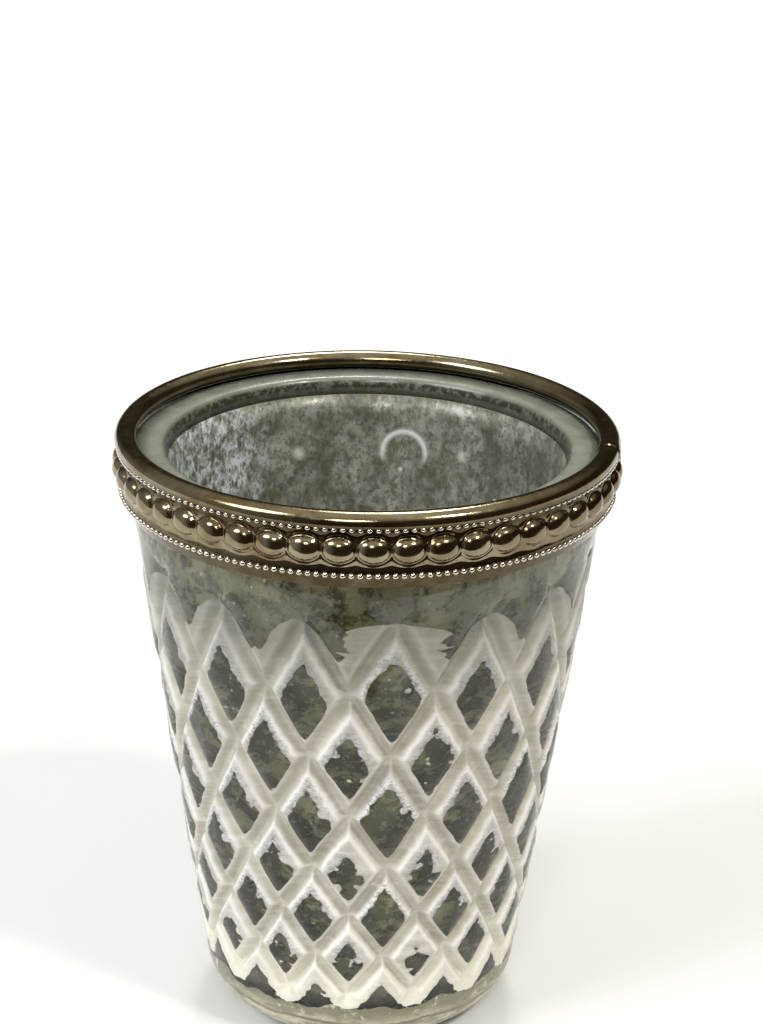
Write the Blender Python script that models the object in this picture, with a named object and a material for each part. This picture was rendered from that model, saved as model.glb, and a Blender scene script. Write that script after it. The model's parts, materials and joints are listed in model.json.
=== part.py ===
"""Tealight holder: a pressed glass cup with a raised diamond pattern, white paint in
the grooves, a silvered inside and a beaded metal band rolled over the lip.

Sizes are millimetres and are scaled to metres when each mesh is made. Heights are
measured from the resting face. Angles run round the vertical axis, starting at the
-Y side and growing towards +X.
"""
import math

import bmesh
import bpy

MM = 0.001

# Diamond pattern: rows of diamonds, each row half a diamond below the last one.
CELLS = 16
ROWS = 8
HALF_CELL = math.pi / CELLS
ODD_ROW_ANGLE = math.radians(-14.97)
TOP_ROW_Z = 80.2
FIRST_ROW_STEP = 12.43
ROW_STEP_RATIO = 0.9208
GROOVE_SHARE = 0.17
GROOVE_DEPTH = 1.9
TOP_FADE_ROW = -0.45

# Outer cone of the cup: radius at a reference height, its slope and its curve.
CONE_REF_Z = 95.0
CONE_REF_R = 38.1
CONE_SLOPE = 0.1255
CONE_CURVE = 0.0001575

# Foot of the cup.
FOOT_FLAT_R = 16.7
FOOT_CORNER_Z = 8.0
FOOT_CORNER_STEPS = 4

# Mouth of the cup.
NECK_Z = 86.6
SEAT_R = 36.5
SEAT_Z = 87.6
LIP_OUT_R = 36.9
LIP_Z = 96.0
LIP_IN_R = 31.6
LIP_ROUND = 0.6

# Inside of the cup.
WALL = 4.5
FLOOR_Z = 7.0
FLOOR_CORNER = 4.5
FLOOR_CORNER_STEPS = 4
INSIDE_COLUMNS = 48

# Silver coat on the inside.
COAT_GAP = 0.38
COAT_THICK = 0.3
COAT_TOP_Z = 93.3

# White paint in the grooves.
PAINT_GAP = 0.44
PAINT_THICK = 0.32
PAINT_SHARE = 0.14
PAINT_CREST_ROW = -0.22
PAINT_CREST_DEPTH = 0.6

# Metal band: outer outline of the strip, from its lower edge up over the rolled hem.
BEADS = 48
BEAD_STEPS = 4
BEAD_ANGLE = math.radians(-5.84)
BEAD_DIP = 1.1
BAND_BEAD_OUTLINE = ((38.8, 91.3), (40.0, 93.2), (38.8, 95.1))
BAND_LOWER_OUTLINE = ((37.35, 87.2), (37.75, 87.2), (38.8, 89.2), (38.6, 90.5))
BAND_UPPER_OUTLINE = ((38.9, 95.9),)
HEM_CENTRE_R = 37.8
HEM_CENTRE_Z = 97.35
HEM_HALF_WIDTH = 1.7
HEM_HALF_HEIGHT = 1.65
HEM_STEPS = 5
HEM_FOOT = ((36.3, 96.4), (38.3, 96.4))
BAND_INNER_OUTLINE = ((38.3, 95.0), (38.6, 93.2), (38.0, 89.4))

# Cured adhesive between the lip and the band.
GLUE_OUTLINE = ((37.22, 89.7), (37.65, 89.7), (38.2, 93.2), (37.95, 95.2), (37.22, 95.2))


def remove_existing():
    """Start from an empty file."""
    for item in list(bpy.data.objects):
        bpy.data.objects.remove(item, do_unlink=True)


def row_z(row):
    """Height of a row of diamond corners; rows get closer towards the foot."""
    steps = (1.0 - ROW_STEP_RATIO ** row) / (1.0 - ROW_STEP_RATIO)
    return TOP_ROW_Z - FIRST_ROW_STEP * steps


def cone_r(z):
    """Outer radius of the cup over the diamonds, foot corner included."""
    rise = z - CONE_REF_Z
    radius = CONE_REF_R + CONE_SLOPE * rise - CONE_CURVE * rise * rise
    if z >= FOOT_CORNER_Z:
        return radius
    corner = cone_r(FOOT_CORNER_Z) - FOOT_FLAT_R
    drop = (FOOT_CORNER_Z - z) / FOOT_CORNER_Z
    return FOOT_FLAT_R + corner * math.sqrt(max(0.0, 1.0 - drop * drop))


def fade(row):
    """How deep the grooves are at a row: full in the pattern, none at neck and foot."""
    at_top = (row - TOP_FADE_ROW) / (0.0 - TOP_FADE_ROW)
    at_foot = (ROWS - row) / 1.0
    return max(0.0, min(1.0, at_top, at_foot))


def inside_r(z):
    """Radius of the inner wall above the floor corner."""
    share = max(0.0, (z - FLOOR_Z) / (LIP_Z - FLOOR_Z))
    bottom = cone_r(FLOOR_Z + FLOOR_CORNER) - WALL
    return bottom + (LIP_IN_R - bottom) * share


def at(angle, radius, z):
    """Point at an angle, radius and height, in metres."""
    return (MM * radius * math.sin(angle), -MM * radius * math.cos(angle), MM * z)


def make_object(name, points, faces, material, smooth_angle=40.0):
    """Turn points and faces into a named object with outward faces."""
    mesh = bpy.data.meshes.new(name)
    mesh.from_pydata(points, [], faces)
    work = bmesh.new()
    work.from_mesh(mesh)
    bmesh.ops.remove_doubles(work, verts=work.verts, dist=1e-7)
    bmesh.ops.recalc_face_normals(work, faces=work.faces)
    for face in work.faces:
        face.smooth = True
    limit = math.radians(smooth_angle)
    for edge in work.edges:
        edge.smooth = edge.calc_face_angle(0.0) < limit
    work.to_mesh(mesh)
    work.free()
    mesh.materials.append(material)
    made = bpy.data.objects.new(name, mesh)
    bpy.context.scene.collection.objects.link(made)
    return made


def ring_faces(lower, upper):
    """Quads between two rings of vertex numbers with the same count."""
    count = len(lower)
    faces = []
    for i in range(count):
        j = (i + 1) % count
        faces.append((lower[i], lower[j], upper[j], upper[i]))
    return faces


class Net:
    """Points on the cup named by angle and row, so neighbouring diamonds share them."""

    def __init__(self):
        self.numbers = {}
        self.places = []
        self.depths = []

    def point(self, angle, row, depth):
        turn = round(math.degrees(angle) * 1000.0) % 360000
        key = (turn, round(row * 1000.0))
        if key not in self.numbers:
            self.numbers[key] = len(self.places)
            self.places.append((angle, row))
            self.depths.append(depth)
        return self.numbers[key]


def cell_angle(row, index):
    """Angle of a diamond's centre."""
    shift = 0.0 if row % 2 else HALF_CELL
    return ODD_ROW_ANGLE + shift + 2.0 * HALF_CELL * index


def cell_point(net, row, index, across, along):
    """Point of a diamond; both shares run from one groove to the opposite one."""
    angle = cell_angle(row, index) + (across - along) * HALF_CELL
    edge = min(across, along, 1.0 - across, 1.0 - along)
    return net.point(angle, row - 1.0 + across + along, 1.0 if edge < 1e-6 else 0.0)


def half_slopes(net, row, index, share, tip):
    """Four triangles sloping from the grooves to the raised middle, over half a diamond.

    The tip is 0 for the upper half and 1 for the lower half.
    """
    inset = share if tip == 0 else 1.0 - share
    corner = cell_point(net, row, index, tip, tip)
    middle_tip = cell_point(net, row, index, inset, inset)
    faces = []
    for across, along in ((1.0, 0.0), (0.0, 1.0)):
        side = cell_point(net, row, index, across, along)
        shift = share if across == 0.0 else 1.0 - share
        middle_side = cell_point(net, row, index, shift, 1.0 - shift)
        faces.append((corner, side, middle_side))
        faces.append((corner, middle_side, middle_tip))
    return faces


def half_window(net, row, index, share, tip):
    """Half of the raised middle of a diamond, folded along its upright centre line."""
    inset = share if tip == 0 else 1.0 - share
    middle_tip = cell_point(net, row, index, inset, inset)
    middle = cell_point(net, row, index, 0.5, 0.5)
    left = cell_point(net, row, index, share, 1.0 - share)
    right = cell_point(net, row, index, 1.0 - share, share)
    return [(middle_tip, middle, left), (middle_tip, right, middle)]


def diamond_halves(first_row, last_row):
    """Row and tip of every half diamond between two rows of corners."""
    halves = [(first_row, 1)]
    for row in range(first_row + 1, last_row):
        halves.extend(((row, 0), (row, 1)))
    halves.append((last_row, 0))
    return halves


def diamond_net():
    """All diamonds of the glass, from the neck to the foot."""
    net = Net()
    faces = []
    for index in range(CELLS):
        for row, tip in diamond_halves(0, ROWS):
            faces.extend(half_slopes(net, row, index, GROOVE_SHARE, tip))
            faces.extend(half_window(net, row, index, GROOVE_SHARE, tip))
    return net, faces


def edge_ring(net, row):
    """Vertex numbers on a border row, in order of angle."""
    ring = [i for i, place in enumerate(net.places) if abs(place[1] - row) < 1e-6]
    return sorted(ring, key=lambda i: net.places[i][0] % (2.0 * math.pi))


def groove_point(angle, row, depth, lift):
    """Point on the grooved surface, raised off the glass by a lift."""
    z = row_z(row)
    return at(angle, cone_r(z) - GROOVE_DEPTH * depth * fade(row) + lift, z)


def floor_corner(inset):
    """Rounded corner from the wall to the flat floor, set in from the glass."""
    low = FLOOR_Z + FLOOR_CORNER
    centre = inside_r(low) - FLOOR_CORNER
    reach = FLOOR_CORNER - inset
    outline = []
    for step in range(FLOOR_CORNER_STEPS + 1):
        turn = 0.5 * math.pi * step / FLOOR_CORNER_STEPS
        outline.append((centre + reach * math.cos(turn), low - reach * math.sin(turn)))
    return outline


def floor_profile():
    """Inside outline of the cup, from the lip down to the edge of the flat floor."""
    outline = [(LIP_IN_R + LIP_ROUND, LIP_Z), (LIP_IN_R, LIP_Z - LIP_ROUND)]
    return outline + floor_corner(0.0)


def build_glass_cup(material):
    """Pressed glass cup: diamonds outside, smooth tapered well inside."""
    net, faces = diamond_net()
    points = []
    for (angle, row), depth in zip(net.places, net.depths):
        points.append(groove_point(angle, row, depth, 0.0))
    top = edge_ring(net, 0)
    angles = [net.places[i][0] for i in top]

    def add_ring(radius, z):
        start = len(points)
        points.extend(at(angle, radius, z) for angle in angles)
        return list(range(start, start + len(angles)))

    fade_z = row_z(TOP_FADE_ROW)
    upper = [(cone_r(fade_z), fade_z), (cone_r(NECK_Z), NECK_Z), (SEAT_R, SEAT_Z)]
    upper.append((LIP_OUT_R, SEAT_Z + 2.0))
    upper.append((LIP_OUT_R, LIP_Z - LIP_ROUND))
    upper.append((LIP_OUT_R - LIP_ROUND, LIP_Z))
    ring = top
    for radius, z in upper + floor_profile():
        following = add_ring(radius, z)
        faces.extend(ring_faces(ring, following))
        ring = following
    faces.append(tuple(ring))

    ring = edge_ring(net, ROWS)
    angles = [net.places[i][0] for i in ring]
    for step in range(1, FOOT_CORNER_STEPS + 1):
        start_turn = math.acos(1.0 - row_z(ROWS) / FOOT_CORNER_Z)
        turn = start_turn * (1.0 - step / FOOT_CORNER_STEPS)
        z = FOOT_CORNER_Z * (1.0 - math.cos(turn))
        following = add_ring(cone_r(z), z)
        faces.extend(ring_faces(ring, following))
        ring = following
    faces.append(tuple(ring))
    return make_object("glass_cup", points, faces, material, 25.0)


def paint_net():
    """Groove slopes that carry paint, from the crests under the neck to the foot tips."""
    net = Net()
    faces = []
    reach = HALF_CELL * 2.0 * PAINT_SHARE
    for index in range(CELLS):
        for row, tip in diamond_halves(0, ROWS - 1):
            faces.extend(half_slopes(net, row, index, PAINT_SHARE, tip))
        node = cell_angle(0, index) + HALF_CELL
        left = net.point(node - reach, 0.0, 0.0)
        right = net.point(node + reach, 0.0, 0.0)
        middle = net.point(node, 0.0, 1.0)
        crest = net.point(node, PAINT_CREST_ROW, PAINT_CREST_DEPTH)
        faces.extend(((left, middle, crest), (middle, right, crest)))
    return net, faces


def border_edges(faces):
    """Edges that belong to one face only, in that face's direction."""
    seen = {}
    for face in faces:
        for a, b in zip(face, face[1:] + face[:1]):
            key = (min(a, b), max(a, b))
            seen.setdefault(key, []).append((a, b))
    return [pairs[0] for pairs in seen.values() if len(pairs) == 1]


def build_whitewash(material):
    """Thin white paint lattice lying in the grooves."""
    net, faces = paint_net()
    slope = PAINT_SHARE / GROOVE_SHARE
    points = []
    for lift in (PAINT_GAP + PAINT_THICK, PAINT_GAP):
        for (angle, row), depth in zip(net.places, net.depths):
            sunk = 1.0 - slope * (1.0 - depth)
            points.append(groove_point(angle, row, sunk, lift))
    count = len(net.places)
    inner = [tuple(i + count for i in reversed(face)) for face in faces]
    walls = [(b, a, a + count, b + count) for a, b in border_edges(faces)]
    return make_object("whitewash", points, faces + inner + walls, material, 35.0)


def proud_split(points, a, b, c, d):
    """Two triangles that split a quad along the diagonal standing further out."""
    reach = [math.hypot(points[i][0], points[i][1]) for i in (a, b, c, d)]
    if reach[0] + reach[2] >= reach[1] + reach[3]:
        return (a, b, c), (a, c, d)
    return (a, b, d), (b, c, d)


def revolve(name, outline, columns, material, smooth_angle=40.0, dip=None):
    """Closed outline turned round the axis; dip lowers chosen points per column."""
    points = []
    rings = []
    for number, (radius, z) in enumerate(outline):
        start = len(points)
        for i in range(columns):
            angle = 2.0 * math.pi * i / columns + BEAD_ANGLE
            sunk = dip(number, i) if dip else 0.0
            points.append(at(angle, radius - sunk, z))
        rings.append(list(range(start, start + columns)))
    faces = []
    for lower, upper in zip(rings, rings[1:] + rings[:1]):
        for a, b, c, d in ring_faces(lower, upper):
            faces.extend(proud_split(points, a, b, c, d))
    return make_object(name, points, faces, material, smooth_angle)


def build_inner_silvering(material):
    """Thin silver coat standing just inside the glass, down the wall and over the floor."""
    top = inside_r(COAT_TOP_Z)
    outer = [(top - COAT_GAP, COAT_TOP_Z)] + floor_corner(COAT_GAP)
    inset = COAT_GAP + COAT_THICK
    inner = [(top - inset, COAT_TOP_Z)] + floor_corner(inset)
    points = []
    rings = []
    for radius, z in outer[::-1] + inner:
        rings.append(list(range(len(points), len(points) + INSIDE_COLUMNS)))
        for i in range(INSIDE_COLUMNS):
            points.append(at(2.0 * math.pi * i / INSIDE_COLUMNS, radius, z))
    faces = [tuple(rings[0]), tuple(rings[-1])]
    for lower, upper in zip(rings, rings[1:]):
        faces.extend(ring_faces(lower, upper))
    return make_object("inner_silvering", points, faces, material)


def hem_outline():
    """Rolled top edge of the band, from its outer side over the top to its inner side."""
    outline = []
    for step in range(HEM_STEPS + 1):
        turn = math.pi * step / HEM_STEPS
        radius = HEM_CENTRE_R + HEM_HALF_WIDTH * math.cos(turn)
        outline.append((radius, HEM_CENTRE_Z + HEM_HALF_HEIGHT * math.sin(turn)))
    return tuple(outline)


def build_rim_band(material):
    """Embossed metal strip round the lip with one row of beads and a rolled hem."""
    crest = len(BAND_LOWER_OUTLINE) + len(BAND_BEAD_OUTLINE) // 2
    outline = BAND_LOWER_OUTLINE + BAND_BEAD_OUTLINE + BAND_UPPER_OUTLINE
    outline += hem_outline() + HEM_FOOT + BAND_INNER_OUTLINE

    def dip(number, column):
        if number != crest:
            return 0.0
        return BEAD_DIP * math.sin(math.pi * column / BEAD_STEPS) ** 2

    columns = BEADS * BEAD_STEPS
    return revolve("rim_band", outline, columns, material, 50.0, dip)


def make_material(name, colour, metallic, roughness, transmission=0.0):
    """Plain Principled material."""
    made = bpy.data.materials.new(name)
    made.use_nodes = True
    shader = made.node_tree.nodes["Principled BSDF"]
    shader.inputs["Base Color"].default_value = (*colour, 1.0)
    shader.inputs["Metallic"].default_value = metallic
    shader.inputs["Roughness"].default_value = roughness
    shader.inputs["Transmission Weight"].default_value = transmission
    made.diffuse_color = (*colour, 1.0)
    return made


def main():
    remove_existing()
    glass = make_material("clear_glass", (0.62, 0.65, 0.6), 0.0, 0.08, 0.6)
    paint = make_material("white_paint", (0.78, 0.77, 0.75), 0.0, 0.7)
    silver = make_material("mercury_silver", (0.45, 0.46, 0.44), 0.7, 0.4)
    metal = make_material("band_nickel", (0.5, 0.44, 0.36), 1.0, 0.22)
    glue = make_material("band_adhesive", (0.75, 0.7, 0.55), 0.0, 0.5)
    build_glass_cup(glass)
    build_whitewash(paint)
    build_inner_silvering(silver)
    build_rim_band(metal)
    revolve("rim_adhesive", GLUE_OUTLINE, INSIDE_COLUMNS, glue)


main()
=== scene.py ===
"""Looks of the tealight holder: glass cup, brushed paint, silver coat and metal band.

Lengths in the shape functions are millimetres; make_piece turns them into metres.
Angles run round the vertical axis from the -Y side towards +X.
"""

import json
import math

import bpy
import numpy as np
from mathutils import Matrix, Vector

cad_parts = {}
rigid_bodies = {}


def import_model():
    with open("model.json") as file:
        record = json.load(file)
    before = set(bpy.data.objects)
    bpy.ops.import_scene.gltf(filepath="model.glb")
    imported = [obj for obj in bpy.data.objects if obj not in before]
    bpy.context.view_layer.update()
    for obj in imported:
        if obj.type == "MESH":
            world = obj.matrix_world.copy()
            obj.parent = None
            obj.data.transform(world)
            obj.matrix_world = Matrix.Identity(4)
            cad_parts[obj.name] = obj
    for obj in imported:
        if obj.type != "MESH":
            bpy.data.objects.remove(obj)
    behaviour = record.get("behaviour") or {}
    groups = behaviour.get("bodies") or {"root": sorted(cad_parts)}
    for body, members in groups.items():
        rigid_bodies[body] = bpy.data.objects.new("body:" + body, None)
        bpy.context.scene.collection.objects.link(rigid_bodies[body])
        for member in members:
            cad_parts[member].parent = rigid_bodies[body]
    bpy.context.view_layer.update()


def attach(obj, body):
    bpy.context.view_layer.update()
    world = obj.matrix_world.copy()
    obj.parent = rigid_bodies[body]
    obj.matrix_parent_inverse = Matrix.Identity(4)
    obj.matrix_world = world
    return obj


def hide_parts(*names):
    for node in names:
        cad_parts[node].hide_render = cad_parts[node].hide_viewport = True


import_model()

MM = 0.001

# Diamond pattern: 16 diamonds a row, and each row half a diamond round from the last.
CELLS = 16
ROWS = 8
HALF_CELL = math.pi / CELLS
ODD_ROW_ANGLE = math.radians(-14.97)
TOP_ROW_Z = 80.2
FIRST_ROW_STEP = 12.43
ROW_STEP_RATIO = 0.9208
RELIEF = 1.75
SLOPE_SHARE = 0.18
RELIEF_FADE_ROWS = (-0.3, 0.2, 6.7, 7.35)
SURFACE_SETBACK = 0.12

# Cone, foot and mouth of the cup.
CONE_REF_Z = 95.0
CONE_REF_R = 38.1
CONE_SLOPE = 0.1255
CONE_CURVE = 0.0001575
FOOT_FLAT_R = 16.7
FOOT_CORNER_Z = 8.0
FILM_LOW_Z = 0.7
FILM_TOP_Z = 9.0
FLOOR_Z = 7.0
FLOOR_CORNER = 4.5
WALL = 4.5
LIP_Z = 96.0
LIP_IN_R = 31.6
LIP_OUT_R = 36.9
COAT_TOP_Z = 93.2
COAT_SPLIT_Z = 14.0

# White paint: its width beside the grooves as a share of a diamond, the rows where it ends,
# its thickness at the edge, and what that gains further in.
PAINT_ABOVE = 0.18
PAINT_BELOW = 0.125
PAINT_ABOVE_LAST_ROW = 0.32
PAINT_BELOW_FIRST_ROW = 0.25
PAINT_TIP_ROW = 7.36
PATCH_LOW_ROW = 0.52
PAINT_FILM = 0.015
PAINT_BODY = 0.13

# Metal band.
BEADS = 48
BEAD_ANGLE = math.radians(-5.84)
BEAD_Z = 93.15
BEAD_HALF_HEIGHT = 2.0
BEAD_RISE = 1.2
FINE_BEADS = 192
FINE_BEAD_SIDES = 8
FINE_BEAD_RISE = 0.46
HEM_R = 37.8
HEM_Z = 97.38
HEM_HALF_WIDTH = 1.7
HEM_HALF_HEIGHT = 1.5
SEAM_ANGLE = math.radians(78.0)
SEAM_WIDTH = math.radians(7.0)
SEAM_RISE = 0.2
STRIP_CENTRE = (37.6, 96.9)
STRIP_SETBACK = 0.06

# Camera: its place in metres and its lens in millimetres.
CAMERA_PLACE = (0.0, -0.3592, 0.2242)
CAMERA_PITCH = math.radians(21.31)
CAMERA_YAW = math.radians(0.374)
CAMERA_ROLL = math.radians(1.043)
CAMERA_LENS = 85.66


# ---------------------------------------------------------------- noise and shape

def lattice_noise(x, y, z, seed):
    """Smooth value noise between 0 and 1 on arrays of coordinates."""
    cell = [np.floor(v).astype(np.int64) for v in (x, y, z)]
    part = [v - c for v, c in zip((x, y, z), cell)]
    part = [p * p * (3.0 - 2.0 * p) for p in part]
    total = np.zeros(np.shape(x))
    for dx in (0, 1):
        for dy in (0, 1):
            for dz in (0, 1):
                weight = np.ones(np.shape(x))
                for p, d in zip(part, (dx, dy, dz)):
                    weight = weight * (p if d else 1.0 - p)
                total += weight * random_at(cell[0] + dx, cell[1] + dy, cell[2] + dz, seed)
    return total


def random_at(a, b, c, seed):
    """Repeatable random number between 0 and 1 for whole-number coordinates."""
    mixed = a * 374761393 + b * 668265263 + c * 2147483647 + seed * 144664633
    mixed = (mixed ^ (mixed >> 13)) & 0xFFFFFFFF
    mixed = (mixed * 1274126177) & 0xFFFFFFFF
    mixed = (mixed ^ (mixed >> 16)) & 0xFFFFFFFF
    return mixed / 4294967295.0


def fractal(points, scale, octaves, seed):
    """Layered noise around zero at points in millimetres; scale is the feature size."""
    total = 0.0
    weight = 0.5
    for octave in range(octaves):
        grid = points / scale
        total = total + weight * (lattice_noise(*np.moveaxis(grid, -1, 0), seed + octave) - 0.5)
        weight *= 0.55
        scale *= 0.48
    return total


def step(low, high, value):
    """Smooth step from 0 to 1."""
    t = np.clip((value - low) / (high - low), 0.0, 1.0)
    return t * t * (3.0 - 2.0 * t)


def soft_min(a, b, k):
    """Smaller of two arrays with a rounded join."""
    h = np.clip(0.5 + 0.5 * (b - a) / k, 0.0, 1.0)
    return b * (1.0 - h) + a * h - k * h * (1.0 - h)


def row_z(row):
    """Height of a row of diamond corners."""
    return TOP_ROW_Z - FIRST_ROW_STEP * (1.0 - ROW_STEP_RATIO ** row) / (1.0 - ROW_STEP_RATIO)


def row_at(z):
    """Row number, with fractions, at a height."""
    share = 1.0 - (TOP_ROW_Z - z) * (1.0 - ROW_STEP_RATIO) / FIRST_ROW_STEP
    return np.log(share) / math.log(ROW_STEP_RATIO)


def cone_r(z):
    """Outer radius over the diamonds, foot corner included."""
    rise = np.maximum(z, FOOT_CORNER_Z) - CONE_REF_Z
    radius = CONE_REF_R + CONE_SLOPE * rise - CONE_CURVE * rise * rise
    drop = np.clip((FOOT_CORNER_Z - z) / FOOT_CORNER_Z, 0.0, 1.0)
    return FOOT_FLAT_R + (radius - FOOT_FLAT_R) * np.sqrt(1.0 - drop * drop)


def inside_r(z):
    """Radius of the inner wall above the floor corner."""
    bottom = cone_r(FLOOR_Z + FLOOR_CORNER) - WALL
    return bottom + (LIP_IN_R - bottom) * np.maximum(0.0, (z - FLOOR_Z) / (LIP_Z - FLOOR_Z))


def around(angle, radius, z):
    """Points at angles, radii and heights, as an array of coordinates."""
    angle, radius, z = np.broadcast_arrays(angle, radius, z)
    return np.stack((radius * np.sin(angle), -radius * np.cos(angle), z), -1)


class Diamonds:
    """Where points of the outer wall lie in the diamond pattern."""

    def __init__(self, angle, z):
        self.points = around(angle, cone_r(z), z)
        self.row = row_at(z) + 0.10 * fractal(self.points, 9.0, 2, 101)
        self.turn = (angle - ODD_ROW_ANGLE) / HALF_CELL + 0.16 * fractal(self.points, 9.0, 2, 105)
        down_right = 0.5 * (self.row - 1.0 + self.turn)
        down_left = 0.5 * (self.row - 1.0 - self.turn)
        whole_right = np.round(down_right)
        whole_left = np.round(down_left)
        self.cell_row = whole_right + whole_left + 1.0
        self.cell_turn = np.mod(whole_right - whole_left, 2 * CELLS)
        self.upper_left = down_right - whole_right + 0.5
        self.upper_right = down_left - whole_left + 0.5
        self.lower_right = 1.0 - self.upper_left
        self.lower_left = 1.0 - self.upper_right

    def edge(self):
        """Distance to the nearest groove, as a share of a diamond's width."""
        upper = np.minimum(self.upper_left, self.upper_right)
        return np.minimum(upper, np.minimum(self.lower_left, self.lower_right))

    def cell_random(self, seed):
        """One random number per diamond."""
        turn = self.cell_turn.astype(np.int64)
        return random_at(turn, self.cell_row.astype(np.int64), 7 * np.ones_like(turn), seed)


def relief(places):
    """How far the outer wall lies below the diamonds' tops."""
    edge = np.clip(places.edge() / SLOPE_SHARE, 0.0, 1.0)
    rise = edge * edge * (3.0 - 2.0 * edge)
    pillow = 0.18 * step(0.15, 0.5, places.edge())
    shoulder = 0.22 * np.exp(-((places.edge() - 0.17) / 0.05) ** 2)
    top_start, top_end, low_start, low_end = RELIEF_FADE_ROWS
    fade = step(top_start, top_end, places.row) * (1.0 - step(low_start, low_end, places.row))
    waves = 0.25 * fractal(places.points, 5.0, 2, 11)
    return fade * (RELIEF * (1.0 - rise) - (pillow - shoulder) + waves * rise) + SURFACE_SETBACK


def wall_points(angle, z):
    """Outer wall of the cup with its raised diamonds."""
    places = Diamonds(angle, z)
    return around(angle, cone_r(z) - relief(places), z)


# ---------------------------------------------------------------- meshes

def make_piece(name, points, faces, material, node):
    """Mesh piece in metres that rides on the body and stands for a CAD node."""
    mesh = bpy.data.meshes.new(name)
    mesh.from_pydata((np.asarray(points) * MM).tolist(), [], faces)
    mesh.validate()
    mesh.materials.append(material)
    mesh.polygons.foreach_set("use_smooth", np.full(len(mesh.polygons), True))
    piece = bpy.data.objects.new(name, mesh)
    bpy.context.scene.collection.objects.link(piece)
    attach(piece, "root")
    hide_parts(node)
    return piece


def add_attribute(piece, name, values):
    """One number per vertex for the material to read."""
    attribute = piece.data.attributes.new(name, "FLOAT", "POINT")
    attribute.data.foreach_set("value", values.astype(np.float32))


def grid_faces(rows, columns, flip=False):
    """Quads of a grid whose columns close round the axis."""
    row = np.arange(rows - 1)[:, None] * columns
    column = np.arange(columns)[None, :]
    following = (column + 1) % columns
    below = row + columns
    quads = np.stack((row + column, row + following, below + following, below + column), -1)
    quads = quads.reshape(-1, 4)
    if flip:
        quads = quads[:, ::-1]
    return quads.tolist()


def ring_angles(columns):
    """Angles of evenly spaced columns, as one row."""
    return (np.arange(columns) * math.tau / columns)[None, :]


def turned(outline, columns):
    """Grid of points for an outline of (radius, height) turned round the axis."""
    outline = np.asarray(outline)
    return around(ring_angles(columns), outline[:, 0:1], outline[:, 1:2])


def closed_ring(name, points, material, node):
    """Closed ring from a grid of points whose rows go round its section."""
    rows, columns = points.shape[:2]
    faces = grid_faces(rows, columns)
    last = (rows - 1) * columns
    for i in range(columns):
        j = (i + 1) % columns
        faces.append([last + i, last + j, j, i])
    return make_piece(name, points.reshape(-1, 3), faces, material, node)


def floor_corner(inset, steps):
    """Rounded corner from the inner wall to the floor, set in by a distance."""
    low = FLOOR_Z + FLOOR_CORNER
    reach = FLOOR_CORNER - inset
    turn = np.linspace(0.0, 0.5 * math.pi, steps)
    radius = inside_r(low) - FLOOR_CORNER + reach * np.cos(turn)
    return list(zip(radius, low - reach * np.sin(turn)))


def rounded(corners, radius, steps=4):
    """Outline with its corners rounded; corners are (radius, height) points."""
    corners = [np.array(c, float) for c in corners]
    result = [tuple(corners[0])]
    for before, corner, after in zip(corners, corners[1:], corners[2:]):
        back = before - corner
        ahead = after - corner
        reach = min(radius, 0.45 * np.linalg.norm(back), 0.45 * np.linalg.norm(ahead))
        start = corner + back / np.linalg.norm(back) * reach
        end = corner + ahead / np.linalg.norm(ahead) * reach
        for t in np.linspace(0.0, 1.0, steps):
            result.append(tuple((1 - t) ** 2 * start + 2 * t * (1 - t) * corner + t * t * end))
    result.append(tuple(corners[-1]))
    return result


# ---------------------------------------------------------------- glass cup

def build_glass(material):
    """Pressed cup: diamonds outside, smooth tapered well inside, thick floor."""
    columns = 30 * CELLS
    high = np.linspace(84.5, 2.2, 206)[:, None]
    wall = wall_points(ring_angles(columns), high)
    mouth = [(LIP_IN_R - 0.02, COAT_TOP_Z - 2.0), (LIP_IN_R, LIP_Z - 0.9)]
    mouth += [(LIP_IN_R + 0.25, LIP_Z - 0.25), (LIP_IN_R + 1.0, LIP_Z), (LIP_OUT_R - 0.8, LIP_Z)]
    mouth += [(LIP_OUT_R - 0.2, LIP_Z - 0.25), (LIP_OUT_R, LIP_Z - 0.9), (LIP_OUT_R, 89.4)]
    mouth += [(36.55, 87.9), (36.6, 87.2), (cone_r(86.2) - 0.14, 86.2), (cone_r(85.2) - 0.12, 85.2)]
    well = [(0.01, FLOOR_Z)] + floor_corner(0.0, 9)[::-1]
    well += [(inside_r(z), z) for z in np.linspace(13.0, COAT_TOP_Z - 3.0, 12)]
    foot_z = np.array((1.75, 1.3, 0.9, 0.55, 0.28, 0.1, 0.0))
    foot = [(cone_r(z), z) for z in foot_z]
    foot += [(16.2, 0.0), (15.4, 0.25), (14.0, 0.55), (8.0, 0.85), (0.01, 0.9)]
    points = np.concatenate((turned(well + mouth, columns), wall, turned(foot, columns)))
    faces = grid_faces(len(points), columns, flip=True)
    last = (len(points) - 1) * columns
    faces.append(list(range(columns)))
    faces.append(list(range(last, last + columns))[::-1])
    return make_piece("cup", points.reshape(-1, 3), faces, material, "glass_cup")


def build_lip(material):
    """Sheet over the top of the lip and the inner side just below it: painted light standing in for the lit
    glass seen through the clear lip, with a dark speckled band on the inner side.
    """
    low = COAT_TOP_Z + 0.05
    outline = [(inside_r(low) + 0.12, low), (31.8, 95.0), (32.2, 95.75), (32.7, 95.93), (36.3, 95.93)]
    outline += [(36.3, 96.04), (32.6, 96.04), (32.1, 95.95), (31.75, 95.65), (31.53, 95.1)]
    outline += [(inside_r(low) - 0.03, low)]
    return closed_ring("lip", turned(outline, 256), material, "glass_cup")


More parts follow.
